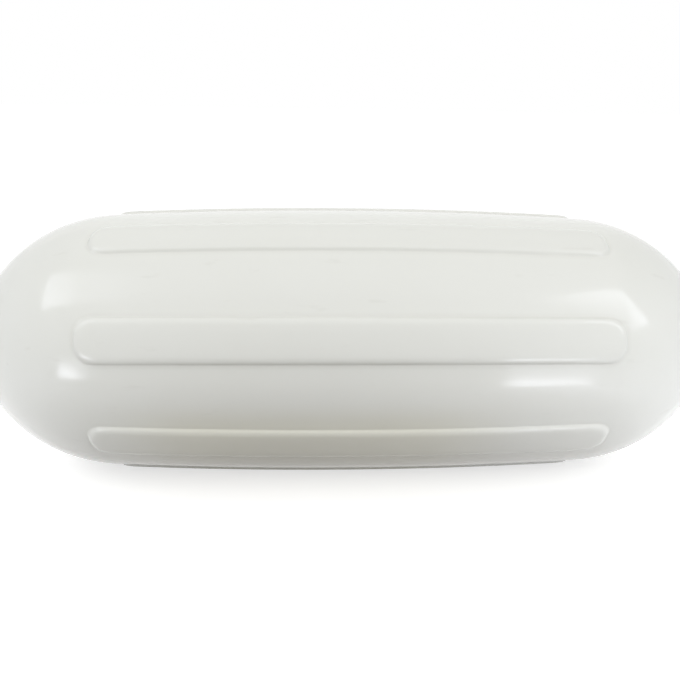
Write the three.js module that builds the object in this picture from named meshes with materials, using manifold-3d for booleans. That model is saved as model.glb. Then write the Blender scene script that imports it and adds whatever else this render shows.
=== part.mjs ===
// A boat fender: an inflated roll of moulded vinyl with raised rubbing pads round it, a
// rope eye moulded on each end, and a rubber needle valve beside one of the eyes.
//
// Millimetres, +Z up. The roll lies along X on its flattened belly. The origin is on the
// floor under the roll's middle. Angles round the roll start at the front (-Y) and rise.

import * as THREE from 'three';
import { mergeVertices } from 'three/addons/utils/BufferGeometryUtils.js';
import Module from 'manifold-3d';

const wasm = await Module();
wasm.setup();

// Roll
const BODY_RADIUS = 82.5; // at the middle, between the pads
const BODY_LENGTH = 455.6; // from one rounded end to the other, without the eyes
const BARREL_DROP = 9.3; // how much slimmer the barrel would be by the time it reaches an end
const DOME_LENGTH = 83.4; // how much of each end is rounded
const BELLY_FLAT = 1.0; // how far the belly is pressed flat where the roll lies

// Rubbing pads
const PAD_COUNT = 8;
const PAD_LENGTH = 291;
const PAD_WIDTH = 24.8;
const PAD_HEIGHT = 2.0;
const PAD_SHOULDER = 4.5; // width of the rounded edge of a pad
const PAD_CORNER = 10.5; // corner radius of a pad's outline

// Rope eyes
const EYE_REACH = 28; // from the roll's rounded end to the middle of the hole
const EYE_HOLE_RADIUS = 10;
const EYE_WALL = 14; // material round the hole
const EYE_THICKNESS = 16;
const EYE_EDGE = 4; // rounding of the eye's edges and of the lips of its hole
const EYE_ROOT = 37; // half width of the eye where it flares into the rounded end
const NECK_RADIUS = 15; // round boss that thickens the root of the eye
const NECK_ROOT = 28; // radius at which the boss flares into the rounded end
const FLARE_RUN = 7; // how far each flare takes to run straight

// Needle valve
const VALVE_OFFSET = 41; // from the roll's axis, towards the front of the left end
const VALVE_HEAD_RADIUS = 7;
const VALVE_HEAD_HEIGHT = 2.4;
const VALVE_CROWN = 0.7; // how far the head stands proud of the roll
const VALVE_STEM_RADIUS = 4.4;
const VALVE_STEM_LENGTH = 15;
const NEEDLE_HOLE_RADIUS = 1.1;
const NEEDLE_HOLE_DEPTH = 6;
const SEAT_GAP = 0.3; // between the valve and its seat

// Fineness of the facets
const BARREL_RINGS = 5; // from the middle to a pad's corners
const DOME_RINGS = 8;
const FLARE_RINGS = 3;
const NECK_TIP_RINGS = 4;
const CURVE_FACETS = 9; // along the curves of an eye's outline
const EDGE_FACETS = 3; // across a rounded edge
const VALVE_FACETS = 24;

// Worked out from the sizes above
const HALF_LENGTH = BODY_LENGTH / 2;
const DOME_START = HALF_LENGTH - DOME_LENGTH;
const PAD_END = PAD_LENGTH / 2;
const PAD_SIDE = PAD_WIDTH / 2;
const PAD_PITCH = (2 * Math.PI) / PAD_COUNT;
const EYE_RADIUS = EYE_HOLE_RADIUS + EYE_WALL;
const EYE_CENTRE = HALF_LENGTH + EYE_REACH;
const AXIS_HEIGHT = BODY_RADIUS - BELLY_FLAT;

// Radius of the roll without its pads, at a distance x from its middle: a shallow barrel
// that half an ellipse closes at each end.
function rollRadius(x) {
  const barrel = BODY_RADIUS - BARREL_DROP * (x / HALF_LENGTH) ** 2;
  const intoDome = Math.max(0, (Math.abs(x) - DOME_START) / DOME_LENGTH);
  return barrel * Math.sqrt(Math.max(0, 1 - intoDome ** 2));
}

// How far from the middle the rounded end has narrowed to a given radius.
function domeStation(radius) {
  let near = DOME_START;
  let far = HALF_LENGTH;
  for (let halving = 0; halving < 40; halving++) {
    const middle = (near + far) / 2;
    if (rollRadius(middle) > radius) near = middle;
    else far = middle;
  }
  return near;
}

// Unit vector along the rounded end, towards its tip, as (along the axis, outwards).
function domeTangent(x) {
  const step = 0.01;
  return new THREE.Vector2(2 * step, rollRadius(x + step) - rollRadius(x - step)).normalize();
}

// Curve that leaves the rounded end along its own slope at one distance from the axis
// and runs straight along the axis at another, as (along the axis, outwards).
function flare(rootRadius, neckRadius) {
  const root = new THREE.Vector2(domeStation(rootRadius), rootRadius);
  const slope = domeTangent(root.x);
  const bend = new THREE.Vector2(root.x + (slope.x / slope.y) * (neckRadius - rootRadius), neckRadius);
  const end = new THREE.Vector2(bend.x + FLARE_RUN, neckRadius);
  return new THREE.QuadraticBezierCurve(root, bend, end);
}

// Height of a pad above the roll, at a distance x from the middle and a distance round
// the roll from the pad's centre line. The outline has rounded corners, and the edge is
// a quarter of an ellipse.
function padHeight(x, round) {
  const pastX = Math.max(0, Math.abs(x) - (PAD_END - PAD_CORNER));
  const pastSide = Math.max(0, Math.abs(round) - (PAD_SIDE - PAD_CORNER));
  const inside = PAD_CORNER - Math.hypot(pastX, pastSide);
  const upShoulder = THREE.MathUtils.clamp(inside / PAD_SHOULDER, 0, 1);
  return PAD_HEIGHT * Math.sqrt(1 - (1 - upShoulder) ** 2);
}

// Distances from a pad's edge at which the facets divide its rounded shoulder.
function shoulderSteps() {
  return [PAD_SHOULDER, PAD_SHOULDER * 0.35, 0];
}

// Rings of the roll from its middle to the tip of one neck, as (along the axis, outwards).
function ringsOfOneHalf() {
  const rings = [];
  const ring = (x) => rings.push(new THREE.Vector2(x, rollRadius(x)));
  const lastPlain = PAD_END - PAD_CORNER;
  for (let i = 0; i <= BARREL_RINGS; i++) ring((lastPlain * i) / BARREL_RINGS);
  for (const back of shoulderSteps()) ring(PAD_END - back);

  const neck = flare(NECK_ROOT, NECK_RADIUS);
  const angleInto = (x) => Math.asin(Math.max(0, (x - DOME_START) / DOME_LENGTH));
  const first = angleInto(PAD_END);
  const last = angleInto(neck.v0.x);
  for (let i = 1; i < DOME_RINGS; i++) {
    ring(DOME_START + DOME_LENGTH * Math.sin(first + ((last - first) * i) / DOME_RINGS));
  }
  rings.push(...neck.getPoints(FLARE_RINGS));

  const tip = EYE_CENTRE - EYE_HOLE_RADIUS - EYE_EDGE - neck.v2.x;
  for (let i = 1; i <= NECK_TIP_RINGS; i++) {
    const turn = (Math.PI / 2) * (i / NECK_TIP_RINGS);
    const outwards = i === NECK_TIP_RINGS ? 0 : NECK_RADIUS * Math.cos(turn);
    rings.push(new THREE.Vector2(neck.v2.x + tip * Math.sin(turn), outwards));
  }
  return rings;
}

// Spokes across one pad and half of the hollow on each side of it, as fractions: from 0
// at the pad's centre line to 1 at its edge, and on to 2 in the middle of the hollow.
function spokesOfOnePad() {
  const side = shoulderSteps().map((back) => 1 - back / PAD_SIDE);
  const oneSide = [...side, 1.5];
  return [-2, ...oneSide.map((spoke) => -spoke).reverse(), 0, ...oneSide];
}

// The roll with its pads and its two necks. It is turned on a lathe with as many facets
// as there are spokes, and then each corner is moved to its spoke and raised by the pad.
function rollGeometry() {
  const half = ringsOfOneHalf();
  const otherHalf = half.slice(1).map((ring) => new THREE.Vector2(-ring.x, ring.y));
  const rings = [...half.reverse(), ...otherHalf];
  const spokes = spokesOfOnePad();
  const turned = new THREE.LatheGeometry(
    rings.map((ring) => new THREE.Vector2(ring.y, ring.x)),
    PAD_COUNT * spokes.length,
  );
  const corners = turned.attributes.position;
  for (let i = 0; i < corners.count; i++) {
    const ring = rings[i % rings.length];
    const facet = Math.floor(i / rings.length);
    const pad = Math.floor(facet / spokes.length);
    const spoke = spokes[facet % spokes.length];
    const padRadius = rollRadius(Math.min(Math.abs(ring.x), PAD_END));
    const edgeAngle = PAD_SIDE / padRadius;
    const pastEdge = Math.max(0, Math.abs(spoke) - 1);
    const offCentre = Math.sign(spoke)
      * (Math.min(Math.abs(spoke), 1) * edgeAngle + pastEdge * (PAD_PITCH / 2 - edgeAngle));
    const angle = (pad + 0.5) * PAD_PITCH + offCentre;
    const radius = ring.y + padHeight(ring.x, offCentre * padRadius);
    corners.setXYZ(i, ring.x, -radius * Math.cos(angle), radius * Math.sin(angle));
  }
  return turned;
}

// One rope eye, on the right end: a flat lug in the upright plane through the axis, with
// a hole across it. Its outline runs from the rounded end out round the hole and back.
function eyeGeometry() {
  const side = flare(EYE_ROOT, EYE_RADIUS);
  const inside = side.v0.x - EYE_THICKNESS;
  const outline = new THREE.Shape();
  outline.moveTo(inside, -EYE_ROOT);
  outline.lineTo(side.v0.x, -side.v0.y);
  outline.quadraticCurveTo(side.v1.x, -side.v1.y, side.v2.x, -side.v2.y);
  outline.lineTo(EYE_CENTRE, -EYE_RADIUS);
  outline.absarc(EYE_CENTRE, 0, EYE_RADIUS, -Math.PI / 2, Math.PI / 2);
  outline.lineTo(side.v2.x, side.v2.y);
  outline.quadraticCurveTo(side.v1.x, side.v1.y, side.v0.x, side.v0.y);
  outline.lineTo(inside, EYE_ROOT);
  const hole = new THREE.Path();
  hole.absarc(EYE_CENTRE, 0, EYE_HOLE_RADIUS, 0, 2 * Math.PI, true);
  outline.holes.push(hole);

  const core = EYE_THICKNESS - 2 * EYE_EDGE;
  const lug = new THREE.ExtrudeGeometry(outline, {
    depth: core,
    curveSegments: CURVE_FACETS,
    bevelThickness: EYE_EDGE,
    bevelSize: EYE_EDGE,
    bevelOffset: -EYE_EDGE,
    bevelSegments: EDGE_FACETS,
  });
  return lug.translate(0, 0, -core / 2).rotateX(Math.PI / 2);
}

// Outline of the valve, from the axis at the inner end of its stem, round its head and
// back to the axis: (outwards, towards the head). The roll's surface is at height 0.
function valveOutline() {
  const headFoot = VALVE_CROWN - VALVE_HEAD_HEIGHT;
  const points = [
    new THREE.Vector2(0, headFoot - VALVE_STEM_LENGTH),
    new THREE.Vector2(VALVE_STEM_RADIUS, headFoot - VALVE_STEM_LENGTH),
    new THREE.Vector2(VALVE_STEM_RADIUS, headFoot),
    new THREE.Vector2(VALVE_HEAD_RADIUS, headFoot),
  ];
  for (let i = 0; i <= EDGE_FACETS; i++) {
    const turn = (Math.PI / 2) * (i / EDGE_FACETS);
    points.push(new THREE.Vector2(
      VALVE_HEAD_RADIUS - VALVE_CROWN * (1 - Math.cos(turn)),
      VALVE_CROWN * Math.sin(turn),
    ));
  }
  points.push(new THREE.Vector2(NEEDLE_HOLE_RADIUS, VALVE_CROWN));
  points.push(new THREE.Vector2(NEEDLE_HOLE_RADIUS, VALVE_CROWN - NEEDLE_HOLE_DEPTH));
  points.push(new THREE.Vector2(0, VALVE_CROWN - NEEDLE_HOLE_DEPTH));
  return points;
}

// The valve's seat: room for the stem and the head with the gap all round, open outwards.
function seatOutline() {
  const headFoot = VALVE_CROWN - VALVE_HEAD_HEIGHT - SEAT_GAP;
  const mouth = VALVE_HEAD_RADIUS;
  return [
    new THREE.Vector2(0, headFoot - VALVE_STEM_LENGTH),
    new THREE.Vector2(VALVE_STEM_RADIUS + SEAT_GAP, headFoot - VALVE_STEM_LENGTH),
    new THREE.Vector2(VALVE_STEM_RADIUS + SEAT_GAP, headFoot),
    new THREE.Vector2(VALVE_HEAD_RADIUS + SEAT_GAP, headFoot),
    new THREE.Vector2(VALVE_HEAD_RADIUS + SEAT_GAP, mouth),
    new THREE.Vector2(0, mouth),
  ];
}

// Turns the valve or its seat so that it looks squarely out of the left end, at its place.
function atValvePlace(geometry) {
  const x = domeStation(VALVE_OFFSET);
  const slope = domeTangent(x);
  const lean = Math.atan2(slope.x, -slope.y);
  return geometry
    .rotateZ(Math.PI / 2)
    .rotateZ(lean)
    .translate(-x, -VALVE_OFFSET, 0);
}

// A three.js geometry as a solid that can be joined and cut.
function solid(geometry) {
  const bare = geometry.clone();
  bare.deleteAttribute('normal');
  bare.deleteAttribute('uv');
  const merged = mergeVertices(bare, 1e-4);
  const corners = merged.index.array;
  const triangles = [];
  for (let i = 0; i < corners.length; i += 3) {
    const [a, b, c] = corners.slice(i, i + 3);
    if (a !== b && b !== c && c !== a) triangles.push(a, b, c);
  }
  return new wasm.Manifold(new wasm.Mesh({
    numProp: 3,
    vertProperties: new Float32Array(merged.attributes.position.array),
    triVerts: new Uint32Array(triangles),
  }));
}

// A joined or cut solid as a three.js geometry again.
function geometryOf(shape) {
  const mesh = shape.getMesh();
  const geometry = new THREE.BufferGeometry();
  geometry.setAttribute('position', new THREE.BufferAttribute(mesh.vertProperties, 3));
  geometry.setIndex(new THREE.BufferAttribute(mesh.triVerts, 1));
  geometry.computeVertexNormals();
  return geometry;
}

function bodyGeometry() {
  const rightEye = solid(eyeGeometry());
  const leftEye = solid(eyeGeometry().rotateZ(Math.PI));
  const floor = new THREE.BoxGeometry(BODY_LENGTH, 2 * BODY_RADIUS, BODY_RADIUS)
    .translate(0, 0, -AXIS_HEIGHT - BODY_RADIUS / 2);
  const seat = atValvePlace(new THREE.LatheGeometry(seatOutline(), VALVE_FACETS));
  return geometryOf(
    solid(rollGeometry())
      .add(rightEye)
      .add(leftEye)
      .subtract(solid(floor))
      .subtract(solid(seat)),
  );
}

const vinyl = new THREE.MeshStandardMaterial({ color: 0xe8e9e3, roughness: 0.32, metalness: 0 });
const rubber = new THREE.MeshStandardMaterial({ color: 0x2a2b2c, roughness: 0.6, metalness: 0 });

const fender = new THREE.Group();
fender.position.z = AXIS_HEIGHT;

const body = new THREE.Mesh(bodyGeometry(), vinyl);
body.name = 'fender_body';
fender.add(body);

const valve = new THREE.Mesh(
  atValvePlace(new THREE.LatheGeometry(valveOutline(), VALVE_FACETS)),
  rubber,
);
valve.name = 'inflation_valve';
fender.add(valve);

export default fender;
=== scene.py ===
"""A boat fender on a pale studio floor: a soft moulded roll of off-white vinyl with raised
rubbing pads, a rope eye on each end and a rubber needle valve beside the left eye."""
import math

import bmesh
import bpy
from mathutils import Matrix, Vector


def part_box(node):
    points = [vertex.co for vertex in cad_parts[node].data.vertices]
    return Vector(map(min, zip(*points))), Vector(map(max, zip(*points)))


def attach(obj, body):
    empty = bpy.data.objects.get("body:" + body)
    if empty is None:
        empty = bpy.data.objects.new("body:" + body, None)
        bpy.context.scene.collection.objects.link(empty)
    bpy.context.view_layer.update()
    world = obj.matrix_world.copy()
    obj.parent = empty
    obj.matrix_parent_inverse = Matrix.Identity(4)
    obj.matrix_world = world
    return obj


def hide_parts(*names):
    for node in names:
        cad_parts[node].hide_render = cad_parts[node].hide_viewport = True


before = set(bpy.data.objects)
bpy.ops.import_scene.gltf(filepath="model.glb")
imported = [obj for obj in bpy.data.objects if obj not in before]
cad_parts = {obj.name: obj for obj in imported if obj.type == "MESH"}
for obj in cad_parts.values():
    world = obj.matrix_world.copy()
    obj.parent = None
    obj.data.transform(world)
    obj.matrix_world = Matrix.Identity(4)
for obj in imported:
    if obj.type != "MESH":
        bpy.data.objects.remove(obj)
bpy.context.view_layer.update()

# Roll, in metres
BODY_RADIUS = 0.0825
BODY_LENGTH = 0.4556
BARREL_DROP = 0.0093
DOME_LENGTH = 0.0834

# Rubbing pads
PAD_COUNT = 8
PAD_LENGTH = 0.291
PAD_WIDTH = 0.0248
PAD_HEIGHT = 0.0020
PAD_SHOULDER = 0.0045
PAD_CORNER = 0.0105

# Rope eyes
EYE_REACH = 0.028
EYE_HOLE_RADIUS = 0.010
EYE_WALL = 0.014
EYE_THICKNESS = 0.016
EYE_EDGE = 0.004
EYE_ROOT = 0.037
NECK_RADIUS = 0.015
NECK_ROOT = 0.028
FLARE_RUN = 0.007

# Needle valve
VALVE_OFFSET = 0.041
VALVE_HEAD_RADIUS = 0.007
VALVE_HEAD_HEIGHT = 0.0024
VALVE_CROWN = 0.0007
VALVE_STEM_RADIUS = 0.0044
VALVE_STEM_LENGTH = 0.015
DISH_RADIUS = 0.0042
DISH_FLOOR_RADIUS = 0.0024
DISH_DEPTH = 0.0004
NEEDLE_HOLE_RADIUS = 0.0011
NEEDLE_HOLE_DEPTH = 0.006
NEEDLE_MOUTH = 0.0005
SEAT_GAP = 0.0003
SEAT_LIP = 0.0005
SEAT_LIP_DEPTH = 0.0009

# Worked out from the sizes above and from the frame
HALF_LENGTH = BODY_LENGTH / 2
DOME_START = HALF_LENGTH - DOME_LENGTH
PAD_END = PAD_LENGTH / 2
PAD_SIDE = PAD_WIDTH / 2
PAD_PITCH = 2 * math.pi / PAD_COUNT
EYE_RADIUS = EYE_HOLE_RADIUS + EYE_WALL
EYE_CENTRE = HALF_LENGTH + EYE_REACH
AXIS_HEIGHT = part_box("fender_body")[1].z - BODY_RADIUS

# Distances from a pad's edge, inwards and outwards, where the roll's lines lie close
INSIDE_EDGE = (0.0090, 0.0065, 0.0045, 0.0033, 0.0022, 0.0013, 0.0006, 0.0)
OUTSIDE_EDGE = (0.0006, 0.0018, 0.0040, 0.0075, 0.0115, 0.0155)

# The rounded ends are remeshed past the ring of this radius, where the eyes grow out
JOIN_RADIUS = 0.047
JOIN_GAP = 0.0012
END_VOXEL = 0.0011
END_SMOOTHING = 9
END_SETTLING = 2

# Vinyl, in linear colours; the scuffs, the painted crease shade at the pad feet and the painted
# warm shade low on the front are faint
VINYL_PALE = (0.800, 0.812, 0.775, 1)
VINYL_DEEP = (0.780, 0.790, 0.745, 1)
VINYL_ROUGHNESS = (0.09, 0.17)
VINYL_IOR = 1.53
# Painted shade: the feet of the pads are darkened towards this colour, where shade gathers in the
# crease; the gloss there is also duller
CREASE_SHADE = (0.42, 0.40, 0.34, 1)
CREASE_SHADE_SHARE = 0.10
FOOT_DULLING = 0.10
FOOT_MARK_WIDTH = 0.0022
FOOT_MARK_OUTSIDE = 0.0004
SCUFF = (0.40, 0.38, 0.32, 1)
SCUFF_SHARE = 0.12
# Painted shade: a warm darkening low on the middle of the roll's front, where the floor's dull
# bounce leaves it shaded
PAINTED_WARM_SHADE = (0.97, 0.955, 0.895, 1)
WARM_SHADE_MIDDLE = -0.025

# Valve rubber, and the relief of both surfaces
RUBBER_DARK = (0.014, 0.0145, 0.015, 1)
RUBBER_WORN = (0.038, 0.038, 0.037, 1)
RUBBER_ROUGHNESS = (0.48, 0.72)
WAVE_HEIGHT = 0.00014
GRAIN_HEIGHT = 0.000008
GRIT_HEIGHT = 0.00003

# Camera: it looks a little down on the pad that faces up and forwards
CAMERA_DISTANCE = 0.390
CAMERA_TILT = math.radians(23.3)
CAMERA_YAW = math.radians(2.42)
CAMERA_SIDE = 0.0048
CAMERA_RISE = 0.0006
CAMERA_LENS = 31.47
SENSOR_WIDTH = 36

# Studio: light bounces off a dull warm floor with paler sides, which is seen white
WORLD_LEVEL = 0.25
FLOOR_REACH = 6
FLOOR_SEEN = (0.80, 0.80, 0.80, 1)
FLOOR_MIDDLE = (0.120, 0.095, 0.050, 1)
FLOOR_SIDES = (0.80, 0.80, 0.80, 1)
MIDDLE_END = 0.08
SIDES_START = 0.30
NEAR_GLOW = 0.60
FAR_GLOW = 0.85
GLOW_START = 0.4
GLOW_END = 1.6
COOL = (0.96, 0.98, 1.07)
WARM = (1.03, 1.00, 0.92)


def roll_radius(x):
    """Radius of the roll without its pads, x from its middle: a barrel with elliptic ends."""
    barrel = BODY_RADIUS - BARREL_DROP * (x / HALF_LENGTH) ** 2
    into_dome = max(0.0, (abs(x) - DOME_START) / DOME_LENGTH)
    return barrel * math.sqrt(max(0.0, 1 - into_dome ** 2))


def dome_station(radius):
    """How far from the middle the rounded end has narrowed to a radius."""
    near, far = DOME_START, HALF_LENGTH
    halvings = 40
    for _ in range(halvings):
        middle = (near + far) / 2
        if roll_radius(middle) > radius:
            near = middle
        else:
            far = middle
    return near


def dome_tangent(x):
    """Unit vector along the rounded end towards its tip: (along the axis, outwards)."""
    step = 1e-5
    return Vector((2 * step, roll_radius(x + step) - roll_radius(x - step))).normalized()


def flare(root_radius, neck_radius):
    """Root, bend and end of the curve that leaves the rounded end along its own slope."""
    root = Vector((dome_station(root_radius), root_radius))
    slope = dome_tangent(root.x)
    bend = Vector((root.x + slope.x / slope.y * (neck_radius - root_radius), neck_radius))
    return root, bend, bend + Vector((FLARE_RUN, 0))


def along_curve(root, bend, end, steps):
    """Points of a quadratic curve, without its first one."""
    for i in range(1, steps + 1):
        t = i / steps
        yield root * (1 - t) ** 2 + bend * (2 * t * (1 - t)) + end * t ** 2


def inside_pad(x, around):
    """How far inside a pad's edge a place lies, below 0 outside it; around is the distance
    round the roll from the pad's centre line."""
    past_x = max(0.0, abs(x) - (PAD_END - PAD_CORNER))
    past_side = max(0.0, abs(around) - (PAD_SIDE - PAD_CORNER))
    return PAD_CORNER - math.hypot(past_x, past_side)


def pad_height(x, around):
    """Height of a pad above the roll, with rounded shoulders."""
    up_shoulder = min(max(inside_pad(x, around) / PAD_SHOULDER, 0.0), 1.0)
    return PAD_HEIGHT * math.sqrt(1 - (1 - up_shoulder) ** 2)


def outline_of_half(last_x):
    """The roll's outline from its middle to a ring on its rounded end: (along, outwards)."""
    stations = []
    plain_rings = 7
    last_plain = PAD_END - 0.012
    crowding = 0.85
    for i in range(plain_rings + 1):
        stations.append(last_plain * math.sin(math.pi / 2 * i / plain_rings) ** crowding)
    stations += [PAD_END - back for back in INSIDE_EDGE]
    stations += [PAD_END + past for past in OUTSIDE_EDGE[:3]]
    first = math.asin((stations[-1] - DOME_START) / DOME_LENGTH)
    last = math.asin((last_x - DOME_START) / DOME_LENGTH)
    dome_rings = 9
    for i in range(1, dome_rings + 1):
        turn = first + (last - first) * i / dome_rings
        stations.append(DOME_START + DOME_LENGTH * math.sin(turn))
    return [Vector((x, roll_radius(x))) for x in stations]


def spokes_of_pad():
    """Places of the roll's lines across one pad and half the hollow on each side of it."""
    side = [PAD_SIDE - back for back in INSIDE_EDGE] + [PAD_SIDE + past for past in OUTSIDE_EDGE]
    hollow = [-PAD_PITCH / 2 * BODY_RADIUS]
    return hollow + [-place for place in reversed(side)] + [0.0] + side


def spun(outline, steps):
    """An outline (along the axis, outwards) spun round the roll's axis."""
    bm = bmesh.new()
    line = [bm.verts.new((p.x, -p.y, 0)) for p in outline]
    edges = [bm.edges.new(pair) for pair in zip(line, line[1:])]
    bmesh.ops.spin(bm, geom=line + edges, cent=(0, 0, 0), axis=(1, 0, 0), dvec=(0, 0, 0),
                   angle=2 * math.pi, steps=steps, use_merge=True)
    bmesh.ops.remove_doubles(bm, verts=bm.verts, dist=1e-6)
    bmesh.ops.dissolve_degenerate(bm, edges=bm.edges, dist=1e-7)
    return bm


def around_pad(place, pad_radius):
    """Angle from a pad's centre line: a pad keeps its width where the barrel is slimmer."""
    edge_angle = PAD_SIDE / pad_radius
    if abs(place) <= PAD_SIDE:
        return place / pad_radius
    hollow = PAD_PITCH / 2 * BODY_RADIUS - PAD_SIDE
    share = (abs(place) - PAD_SIDE) / hollow
    return math.copysign(edge_angle + share * (PAD_PITCH / 2 - edge_angle), place)


def padded_roll():
    """The roll between its two joining rings, with its pads raised."""
    half = outline_of_half(dome_station(JOIN_RADIUS))
    outline = [Vector((-p.x, p.y)) for p in reversed(half[1:])] + half
    spokes = spokes_of_pad()
    facets = PAD_COUNT * len(spokes)
    bm = spun(outline, facets)
    for v in bm.verts:
        facet = round(math.atan2(v.co.z, -v.co.y) / (2 * math.pi) * facets) % facets
        pad, spoke = divmod(facet, len(spokes))
        pad_radius = roll_radius(min(abs(v.co.x), PAD_END))
        off_centre = around_pad(spokes[spoke], pad_radius)
        angle = (pad + 0.5) * PAD_PITCH + off_centre
        radius = math.hypot(v.co.y, v.co.z) + pad_height(v.co.x, off_centre * pad_radius)
        v.co = (v.co.x, -radius * math.cos(angle), radius * math.sin(angle))
    return bm


def finished(bm, name, kind, **settings):
    """The mesh after one modifier, as a new bmesh."""
    mesh = bpy.data.meshes.new(name)
    bm.to_mesh(mesh)
    bm.free()
    holder = bpy.data.objects.new(name, mesh)
    bpy.context.scene.collection.objects.link(holder)
    modifier = holder.modifiers.new(name, kind)
    for key, value in settings.items():
        setattr(modifier, key, value)
    done = bmesh.new()
    done.from_object(holder, bpy.context.evaluated_depsgraph_get())
    bpy.data.objects.remove(holder)
    bpy.data.meshes.remove(mesh)
    return done


def lug_outline():
    """The lug of the right eye from the side: two flared roots and a round tip."""
    root, bend, end = flare(EYE_ROOT, EYE_RADIUS)
    inner = root.x - EYE_THICKNESS
    side = [Vector((inner, EYE_ROOT)), root, *along_curve(root, bend, end, 8)]
    tip_steps = 24
    tip = []
    for i in range(tip_steps + 1):
        turn = math.pi / 2 - math.pi * i / tip_steps
        tip.append(Vector((EYE_CENTRE + EYE_RADIUS * math.cos(turn), EYE_RADIUS * math.sin(turn))))
    return side + tip + [Vector((p.x, -p.y)) for p in reversed(side)]


def add_lug(bm):
    """Adds the flat lug of the right eye, with its hole and rounded edges."""
    rim = [bm.verts.new((p.x, 0, p.y)) for p in lug_outline()]
    outer = [bm.edges.new(pair) for pair in zip(rim, rim[1:] + rim[:1])]
    turned = Matrix.Translation((EYE_CENTRE, 0, 0)) @ Matrix.Rotation(math.pi / 2, 4, "X")
    hole = bmesh.ops.create_circle(bm, segments=48, radius=EYE_HOLE_RADIUS, matrix=turned)["verts"]
    inner_loop = list({edge for v in hole for edge in v.link_edges})
    cheek = bmesh.ops.bridge_loops(bm, edges=outer + inner_loop)["faces"]
    bmesh.ops.translate(bm, vec=(0, -EYE_THICKNESS / 2, 0), verts=rim + hole)
    bmesh.ops.recalc_face_normals(bm, faces=cheek)
    grown = bmesh.ops.extrude_face_region(bm, geom=cheek, use_keep_orig=True)["geom"]
    far = [v for v in grown if isinstance(v, bmesh.types.BMVert)]
    bmesh.ops.translate(bm, vec=(0, EYE_THICKNESS, 0), verts=far)
    lug = rim + hole + far
    faces = list({face for v in lug for face in v.link_faces})
    bmesh.ops.recalc_face_normals(bm, faces=faces)
    corner = math.radians(80)
    rims = [edge for edge in {edge for v in lug for edge in v.link_edges}
            if len(edge.link_faces) == 2 and edge.calc_face_angle(0) > corner
            and abs(abs(edge.verts[0].co.y) - abs(edge.verts[1].co.y)) < 1e-6]
    bmesh.ops.bevel(bm, geom=rims, affect="EDGES", offset=EYE_EDGE, segments=5, profile=0.5,
                    material=-1, clamp_overlap=True)


def neck_and_cap():
    """The rounded end past the joining ring, with the neck that the eye's lug grows from."""
    overlap, face_inset = 0.008, 0.004
    start = dome_station(JOIN_RADIUS) - overlap
    root, bend, end = flare(NECK_ROOT, NECK_RADIUS)
    outline = [Vector((start, 0)), Vector((start, roll_radius(start) - face_inset))]
    rings = 14
    for i in range(rings + 1):
        x = start + (root.x - start) * i / rings
        outline.append(Vector((x, roll_radius(x))))
    outline.extend(along_curve(root, bend, end, 6))
    tip = EYE_CENTRE - EYE_HOLE_RADIUS - EYE_EDGE - end.x
    tip_rings = 6
    for i in range(1, tip_rings):
        turn = math.pi / 2 * i / tip_rings
        outline.append(Vector((end.x + tip * math.sin(turn), NECK_RADIUS * math.cos(turn))))
    outline.append(Vector((end.x + tip, 0)))
    bm = spun(outline, 160)
    bmesh.ops.recalc_face_normals(bm, faces=bm.faces)
    return bm


def settle_on_dome(bm):
    """Puts what lies within a hair of the rounded end's true surface exactly on it."""
    near, far = 0.00015, 0.00060
    for v in bm.verts:
        radius = math.hypot(v.co.y, v.co.z)
        if radius < NECK_ROOT or v.co.x > HALF_LENGTH:
            continue
        slope = dome_tangent(v.co.x)
        off = (roll_radius(v.co.x) - radius) * slope.x
        hold = min(max((far - abs(off)) / (far - near), 0.0), 1.0)
        outward = Vector((-slope.y, v.co.y / radius * slope.x, v.co.z / radius * slope.x))
        v.co += outward * off * hold


def eye_end(side):
    """One rounded end with its eye, open at the joining ring; side is 1 right, -1 left."""
    bm = neck_and_cap()
    add_lug(bm)
    bm = finished(bm, "eye_end", "REMESH", mode="VOXEL", voxel_size=END_VOXEL)
    cut = dome_station(JOIN_RADIUS) + JOIN_GAP
    bmesh.ops.bisect_plane(bm, geom=bm.verts[:] + bm.edges[:] + bm.faces[:], dist=1e-6,
                           plane_co=(cut, 0, 0), plane_no=(1, 0, 0), clear_inner=True)
    inside = [v for v in bm.verts if not v.is_boundary]
    for _ in range(END_SMOOTHING):
        bmesh.ops.smooth_vert(bm, verts=inside, factor=0.5,
                              use_axis_x=True, use_axis_y=True, use_axis_z=True)
    for _ in range(END_SETTLING):
        settle_on_dome(bm)
    if side < 0:
        half_turn = Matrix.Rotation(math.pi, 3, "Z")
        bmesh.ops.rotate(bm, cent=(0, 0, 0), matrix=half_turn, verts=bm.verts)
    return bm


def merged(meshes):
    """Several bmeshes in one."""
    whole = bmesh.new()
    for bm in meshes:
        mesh = bpy.data.meshes.new("part")
        bm.to_mesh(mesh)
        bm.free()
        whole.from_mesh(mesh)
        bpy.data.meshes.remove(mesh)
    return whole


def seat_outline():
    """The valve's seat with a rounded lip, open outwards: (towards the head, outwards)."""
    foot = VALVE_CROWN - VALVE_HEAD_HEIGHT - SEAT_GAP
    stem, head = VALVE_STEM_RADIUS + SEAT_GAP, VALVE_HEAD_RADIUS + SEAT_GAP
    stem_end = foot - VALVE_STEM_LENGTH
    points = [(stem_end, 0), (stem_end, stem), (foot, stem), (foot, head)]
    for degrees in (0, 20, 40, 60):
        turn = math.radians(degrees)
        points.append((SEAT_LIP * math.sin(turn) - SEAT_LIP_DEPTH,
                       head + SEAT_LIP * (1 - math.cos(turn))))
    mouth, above, top = head + 0.003, 0.001, 0.004
    points += [(above, mouth), (top, mouth), (top, 0)]
    return [Vector(p) for p in points]


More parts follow.
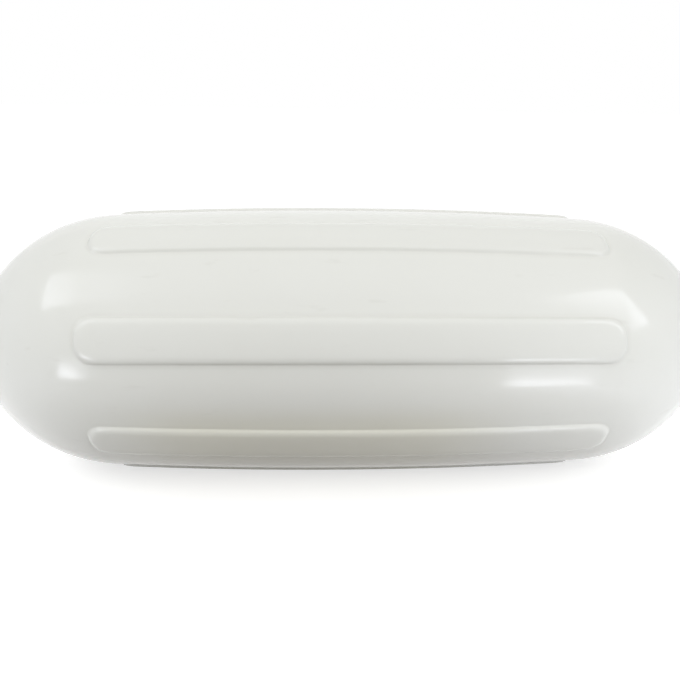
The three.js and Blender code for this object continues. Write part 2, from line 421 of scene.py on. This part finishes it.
def valve_outline():
    """The valve: stem, rounded head, dished face and needle hole: (towards the head, outwards)."""
    foot = VALVE_CROWN - VALVE_HEAD_HEIGHT
    stem_end = foot - VALVE_STEM_LENGTH
    points = [(stem_end, 0), (stem_end, VALVE_STEM_RADIUS),
              (foot, VALVE_STEM_RADIUS), (foot, VALVE_HEAD_RADIUS)]
    steps = 8
    for step in range(steps + 1):
        turn = math.pi / 2 * step / steps
        points.append((VALVE_CROWN * math.sin(turn),
                       VALVE_HEAD_RADIUS - VALVE_CROWN * (1 - math.cos(turn))))
    for step in range(steps + 1):
        share = step / steps
        points.append((VALVE_CROWN - DISH_DEPTH * (3 - 2 * share) * share ** 2,
                       DISH_RADIUS - (DISH_RADIUS - DISH_FLOOR_RADIUS) * share))
    mouth = VALVE_CROWN - DISH_DEPTH - 0.0001
    points += [(mouth, NEEDLE_HOLE_RADIUS + NEEDLE_MOUTH),
               (mouth - NEEDLE_MOUTH, NEEDLE_HOLE_RADIUS),
               (VALVE_CROWN - NEEDLE_HOLE_DEPTH, NEEDLE_HOLE_RADIUS),
               (VALVE_CROWN - NEEDLE_HOLE_DEPTH, 0)]
    return [Vector(p) for p in points]


def valve_place():
    """Where the valve's axis comes out of the left end."""
    return Vector((-dome_station(VALVE_OFFSET), -VALVE_OFFSET, AXIS_HEIGHT))


def at_valve_place(bm):
    """Moves what was spun along X to the valve's place, squarely out of the left end."""
    slope = dome_tangent(dome_station(VALVE_OFFSET))
    outward = Vector((slope.y, -slope.x, 0))
    turn = outward.to_track_quat("X", "Z").to_matrix().to_4x4()
    bmesh.ops.transform(bm, matrix=Matrix.Translation(valve_place()) @ turn, verts=bm.verts)
    bmesh.ops.recalc_face_normals(bm, faces=bm.faces)
    return bm


def mark_sharp(bm, centre, reach):
    """Keeps the corners crisp that lie within reach of a point."""
    soft_bend = math.radians(28)
    for edge in bm.edges:
        near = (edge.verts[0].co - centre).length < reach
        if near and edge.calc_face_angle(0) > soft_bend:
            edge.smooth = False


def with_seat(bm):
    """The skin with the valve's seat sunk into it."""
    cutter = as_object("seat_cutter", at_valve_place(spun(seat_outline(), 72)))
    bm = finished(bm, "seated", "BOOLEAN", operation="DIFFERENCE", solver="EXACT", object=cutter)
    mesh = cutter.data
    bpy.data.objects.remove(cutter)
    bpy.data.meshes.remove(mesh)
    mark_sharp(bm, valve_place(), VALVE_HEAD_RADIUS + VALVE_STEM_LENGTH)
    return bm


def whole_fender():
    """The whole skin: roll, rounded ends, necks and eyes, on its flattened belly."""
    roll = finished(padded_roll(), "roll", "SUBSURF", levels=1, render_levels=1)
    bm = merged([roll, eye_end(1), eye_end(-1)])
    for side in (1, -1):
        ring = [edge for edge in bm.edges if edge.is_boundary and edge.verts[0].co.x * side > 0]
        bmesh.ops.bridge_loops(bm, edges=ring)
    bmesh.ops.recalc_face_normals(bm, faces=bm.faces)
    bmesh.ops.translate(bm, vec=(0, 0, AXIS_HEIGHT), verts=bm.verts)
    for v in bm.verts:
        v.co.z = max(v.co.z, 0.0)
    return with_seat(bm)


def as_object(name, bm):
    """A mesh in the row frame as an object, shaded smooth."""
    mesh = bpy.data.meshes.new(name)
    bm.to_mesh(mesh)
    bm.free()
    mesh.shade_smooth()
    piece = bpy.data.objects.new(name, mesh)
    bpy.context.scene.collection.objects.link(piece)
    return piece


def mark_pad_feet(mesh):
    """Stores how close each point is to the foot of a pad, for the painted crease shade and the
    duller gloss there.
    """
    foot = mesh.attributes.new("pad_foot", "FLOAT", "POINT")
    for v in mesh.vertices:
        x, y, z = v.co.x, v.co.y, v.co.z - AXIS_HEIGHT
        if abs(x) > PAD_END + FOOT_MARK_WIDTH:
            continue
        angle = math.atan2(z, -y) % PAD_PITCH - PAD_PITCH / 2
        from_foot = abs(inside_pad(x, angle * roll_radius(x)) + FOOT_MARK_OUTSIDE)
        foot.data[v.index].value = max(0.0, 1 - from_foot / FOOT_MARK_WIDTH)


def fender_skin():
    """The moulded skin with its pads and eyes."""
    skin = as_object("fender_skin", whole_fender())
    mark_pad_feet(skin.data)
    return skin


def needle_valve():
    """The rubber valve in its seat."""
    bm = at_valve_place(spun(valve_outline(), 96))
    mark_sharp(bm, valve_place(), 2 * VALVE_STEM_LENGTH)
    return as_object("needle_valve", bm)


class Nodes:
    """Adds nodes to a tree and links them."""

    def __init__(self, tree):
        self.tree = tree

    def add(self, kind, settings=None, **values):
        """A new node; at0, at1 and so on name a socket by its number."""
        node = self.tree.nodes.new("ShaderNode" + kind)
        for key, value in (settings or {}).items():
            setattr(node, key, value)
        for key, value in values.items():
            self.feed(node, key.replace("_", " "), value)
        return node

    def feed(self, node, name, value):
        """Links a socket to an input, or sets the input to a plain value."""
        socket = node.inputs[int(name[2:])] if name.startswith("at") else node.inputs[name]
        if isinstance(value, bpy.types.NodeSocket):
            self.tree.links.new(value, socket)
        else:
            socket.default_value = value

    def maths(self, operation, first, second):
        return self.add("Math", {"operation": operation}, at0=first, at1=second).outputs["Value"]

    def noise(self, place, scale, detail):
        return self.add("TexNoise", Vector=place, Scale=scale, Detail=detail).outputs["Fac"]

    def blend(self, share, first, second, kind="MIX"):
        node = self.add("MixRGB", {"blend_type": kind}, Fac=share, Color1=first, Color2=second)
        return node.outputs["Color"]

    def spread(self, value, start, end):
        """From start where the value is 0, evenly to end where it is 1."""
        return self.add("MapRange", Value=value, To_Min=start, To_Max=end).outputs["Result"]

    def ease(self, value, at_none, at_full):
        """Softly from 0 to 1 between two values, of which either may be the larger."""
        node = self.add("MapRange", {"interpolation_type": "SMOOTHSTEP"}, Value=value,
                        From_Min=at_none, From_Max=at_full)
        return node.outputs["Result"]

    def bumped(self, height):
        return self.add("Bump", Height=height, Strength=1.0, Distance=1.0).outputs["Normal"]


def new_material(name):
    """A material, the builder of its nodes and its shader."""
    material = bpy.data.materials.new(name)
    material.use_nodes = True
    return material, Nodes(material.node_tree), material.node_tree.nodes["Principled BSDF"]


def surface_group():
    """Slow mottling, a few faint smudges, and the height of soft waves and fine grain."""
    tree = bpy.data.node_groups.new("moulded surface", "ShaderNodeTree")
    for name in ("Wave Height", "Grain Height"):
        tree.interface.new_socket(name, in_out="INPUT", socket_type="NodeSocketFloat")
    for name in ("Mottle", "Smudge", "Height"):
        tree.interface.new_socket(name, in_out="OUTPUT", socket_type="NodeSocketFloat")
    build = Nodes(tree)
    given = tree.nodes.new("NodeGroupInput").outputs
    out = tree.nodes.new("NodeGroupOutput")
    place = build.add("TexCoord").outputs["Object"]
    drawn_out = build.add("Mapping", Vector=place, Scale=(0.3, 1.0, 1.0)).outputs["Vector"]
    streaks = build.noise(drawn_out, 120.0, 3.0)
    spots = build.add("MapRange", Value=streaks, From_Min=0.66, From_Max=0.78)
    waves = build.maths("MULTIPLY", build.noise(place, 38.0, 1.0), given["Wave Height"])
    grain = build.maths("MULTIPLY", build.noise(place, 750.0, 2.0), given["Grain Height"])
    build.feed(out, "Mottle", build.noise(place, 11.0, 2.0))
    build.feed(out, "Smudge", spots.outputs["Result"])
    build.feed(out, "Height", build.maths("ADD", waves, grain))
    return tree


def surface_of(build, group):
    """The moulded surface in one material, with the relief that both share."""
    return build.add("Group", {"node_tree": group},
                     Wave_Height=WAVE_HEIGHT, Grain_Height=GRAIN_HEIGHT).outputs


def warm_shade_mask(build):
    """Where the warm shade is painted: 1 low on the middle of the roll's front, falling softly to
    0 round it.
    """
    place = build.add("SeparateXYZ", Vector=build.add("TexCoord").outputs["Object"]).outputs
    off_middle = build.maths("ABSOLUTE", build.maths("SUBTRACT", place["X"], WARM_SHADE_MIDDLE), 0.0)
    near_middle = build.ease(off_middle, 0.125, 0.055)
    low = build.ease(place["Z"], 0.082, 0.062)
    in_front = build.ease(place["Y"], 0.0, -0.030)
    return build.maths("MULTIPLY", near_middle, build.maths("MULTIPLY", low, in_front))


def vinyl(group):
    """Satin-glossy off-white vinyl with painted crease shade and a duller gloss in the feet of the
    pads, and painted warm shade low on the front.
    """
    material, build, shader = new_material("vinyl")
    skin = surface_of(build, group)
    foot = build.add("Attribute", {"attribute_name": "pad_foot"}).outputs["Fac"]
    mottled = build.blend(skin["Mottle"], VINYL_PALE, VINYL_DEEP)
    # Painted shade darkens the feet of the pads
    crease_shaded = build.blend(build.maths("MULTIPLY", foot, CREASE_SHADE_SHARE), mottled, CREASE_SHADE)
    scuffed = build.blend(build.maths("MULTIPLY", skin["Smudge"], SCUFF_SHARE), crease_shaded, SCUFF)
    # Painted shade: the low front middle is multiplied towards a warm grey
    warm_shaded = build.blend(warm_shade_mask(build), scuffed, PAINTED_WARM_SHADE, "MULTIPLY")
    rough = build.spread(skin["Mottle"], *VINYL_ROUGHNESS)
    dulled = build.maths("ADD", rough, build.maths("MULTIPLY", foot, FOOT_DULLING))
    build.feed(shader, "IOR", VINYL_IOR)
    build.feed(shader, "Base Color", warm_shaded)
    build.feed(shader, "Roughness", dulled)
    build.feed(shader, "Normal", build.bumped(skin["Height"]))
    return material


def valve_rubber(group):
    """Dark soft rubber, matt, paler where it is rubbed."""
    material, build, shader = new_material("valve_rubber")
    skin = surface_of(build, group)
    place = build.add("TexCoord").outputs["Object"]
    grit = build.maths("MULTIPLY", build.noise(place, 1400.0, 4.0), GRIT_HEIGHT)
    bloom = build.noise(place, 260.0, 3.0)
    build.feed(shader, "Base Color", build.blend(bloom, RUBBER_DARK, RUBBER_WORN))
    build.feed(shader, "Roughness", build.spread(bloom, *RUBBER_ROUGHNESS))
    build.feed(shader, "Normal", build.bumped(build.maths("ADD", skin["Height"], grit)))
    return material


def seen_ray(build):
    """1 on a ray from the camera or by way of a reflection or a glass, otherwise 0."""
    path = build.add("LightPath").outputs
    seen = build.maths("MAXIMUM", path["Is Camera Ray"], path["Is Glossy Ray"])
    return build.maths("MAXIMUM", seen, path["Is Transmission Ray"])


def world_light():
    """A world that is white where it is seen and lights the fender a little from all sides."""
    world = bpy.data.worlds.new("studio")
    bpy.context.scene.world = world
    world.use_nodes = True
    build = Nodes(world.node_tree)
    sky = world.node_tree.nodes["Background"]
    build.feed(sky, "Color", (1, 1, 1, 1))
    build.feed(sky, "Strength", build.spread(seen_ray(build), WORLD_LEVEL, 1.0))


def studio_floor():
    """A pale floor: white where it is seen, apart from the fender's soft shadow."""
    bm = bmesh.new()
    bmesh.ops.create_grid(bm, x_segments=1, y_segments=1, size=FLOOR_REACH)
    floor = as_object("floor", bm)
    material, build, shader = new_material("floor")
    seen = seen_ray(build)
    place = build.add("TexCoord").outputs["Object"]
    aside = build.maths("ABSOLUTE", build.add("SeparateXYZ", Vector=place).outputs["X"], 0.0)
    bounce = build.blend(build.ease(aside, MIDDLE_END, SIDES_START), FLOOR_MIDDLE, FLOOR_SIDES)
    away = build.add("VectorMath", {"operation": "LENGTH"}, at0=place).outputs["Value"]
    glow = build.add("MapRange", Value=away, From_Min=GLOW_START, From_Max=GLOW_END,
                     To_Min=NEAR_GLOW, To_Max=FAR_GLOW)
    build.feed(shader, "Base Color", build.blend(seen, bounce, FLOOR_SEEN))
    build.feed(shader, "Roughness", 0.9)
    build.feed(shader, "Specular IOR Level", 0.0)
    build.feed(shader, "Emission Color", (1, 1, 1, 1))
    build.feed(shader, "Emission Strength", build.maths("MULTIPLY", seen, glow.outputs["Result"]))
    floor.data.materials.append(material)


def softbox(name, corner, across, up, size, brightness, far_share=1.0, top_share=1.0,
            tint=(1, 1, 1), shows=True):
    """An area light by the lower corner of its face and the ways its width and height run.

    A brightness of 1 is white. The glow fades evenly to far_share of it at the far side,
    and to top_share of it at the top. Unless it shows, the gloss doesn't mirror it.
    """
    width, height = size
    v = Vector(up).normalized()
    u = Vector(across)
    u = (u - u.dot(v) * v).normalized()
    centre = Vector(corner) + u * width / 2 + v * height / 2
    mirrored = u.cross(v).dot(centre - Vector((0, 0, AXIS_HEIGHT))) < 0
    x_axis = -u if mirrored else u
    light = bpy.data.lights.new(name, "AREA")
    light.shape = "RECTANGLE"
    light.size, light.size_y = width, height
    light.energy = brightness * width * height * math.pi
    light.color = tint
    light.use_nodes = True
    build = Nodes(light.node_tree)
    place = build.add("NewGeometry").outputs["Parametric"]
    parts = build.add("SeparateXYZ", Vector=place).outputs
    ends = (far_share, 1.0) if mirrored else (1.0, far_share)
    sideways = build.spread(parts["X"], *ends)
    upwards = build.spread(parts["Y"], 1.0, top_share)
    glow = build.maths("MULTIPLY", sideways, upwards)
    build.feed(light.node_tree.nodes["Emission"], "Strength", glow)
    lamp = bpy.data.objects.new(name, light)
    axes = Matrix((x_axis, v, x_axis.cross(v))).transposed().to_4x4()
    lamp.matrix_world = Matrix.Translation(centre) @ axes
    lamp.visible_camera = False
    lamp.visible_glossy = shows
    bpy.context.scene.collection.objects.link(lamp)


def studio_lamps():
    """Boxes, cards and a glow that show in the gloss, and fills that only light."""
    softbox("overhead", (-1.0, -0.8, 1.28), (1, 0, 0), (0, 1, 0), (2.0, 1.6), 0.25)
    softbox("left box", (-0.873, -0.352, 0.587), (0.826, -0.365, 0.429), (0.155, 0.880, 0.450),
            (0.51, 0.41), 3.5, far_share=0.10, top_share=0.45, tint=COOL)
    softbox("right box", (0.894, -0.465, 0.473), (-0.563, -0.821, -0.095), (-0.548, 0.284, 0.787),
            (0.25, 0.50), 4.0, far_share=0.17, top_share=0.80, tint=COOL)
    softbox("left card", (-0.319, -0.260, 0.045), (0.874, -0.486, 0), (0, 0, 1),
            (0.075, 0.085), 7.2, far_share=0.90, top_share=0.02, tint=COOL)
    softbox("right card", (0.170, -0.304, 0.017), (0.987, 0.158, 0), (0, 0, 1),
            (0.085, 0.05), 8.0, far_share=0.60, top_share=0.12, tint=COOL)
    softbox("right glow", (0.170, -0.304, 0.058), (0.987, 0.158, 0), (0, 0, 1),
            (0.085, 0.05), 1.6, far_share=0.80, top_share=0.50, tint=COOL)
    softbox("left end fill", (-0.42, -0.38, 0.01), (-0.10, 0.20, 0), (0, 0, 1),
            (0.22, 0.12), 1.9, tint=COOL, shows=False)
    softbox("right end fill", (0.19, -0.375, 0.005), (0.820, 0.572, 0), (0, 0, 1),
            (0.24, 0.07), 4.1, tint=COOL, shows=False)
    softbox("front fill", (-0.7, -0.9, 0.75), (1, 0, 0), (0, 0.5, 0.87),
            (1.4, 0.5), 1.75, tint=WARM, shows=False)
    softbox("high fill", (-0.5, -0.45, 1.1), (1, 0, 0), (0, 0.95, 0.30),
            (1.0, 0.5), 2.0, shows=False)
    softbox("back fill", (-0.8, 0.9, 0.3), (1, 0, 0), (0, 0.1, 1),
            (1.6, 0.6), 1.8, shows=False)


def camera():
    """The camera, turned about the middle of the roll."""
    data = bpy.data.cameras.new("camera")
    data.lens = CAMERA_LENS
    data.sensor_width = SENSOR_WIDTH
    seen = bpy.data.objects.new("camera", data)
    seen.matrix_world = (
        Matrix.Translation((0, 0, AXIS_HEIGHT))
        @ Matrix.Rotation(-CAMERA_TILT, 4, "X")
        @ Matrix.Rotation(-CAMERA_YAW, 4, "Z")
        @ Matrix.Translation((-CAMERA_SIDE, -CAMERA_DISTANCE, -CAMERA_RISE))
        @ Matrix.Rotation(math.pi / 2, 4, "X")
    )
    bpy.context.scene.collection.objects.link(seen)
    bpy.context.scene.camera = seen


def dressed(piece, material, node):
    """Gives a piece its material, hangs it on the root body and hides the CAD solid it replaces.
    """
    piece.data.materials.append(material)
    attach(piece, "root")
    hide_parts(node)


camera()
surface = surface_group()
dressed(fender_skin(), vinyl(surface), "fender_body")
dressed(needle_valve(), valve_rubber(surface), "inflation_valve")
studio_floor()
world_light()
studio_lamps()

bpy.context.scene.view_settings.view_transform = "Standard"
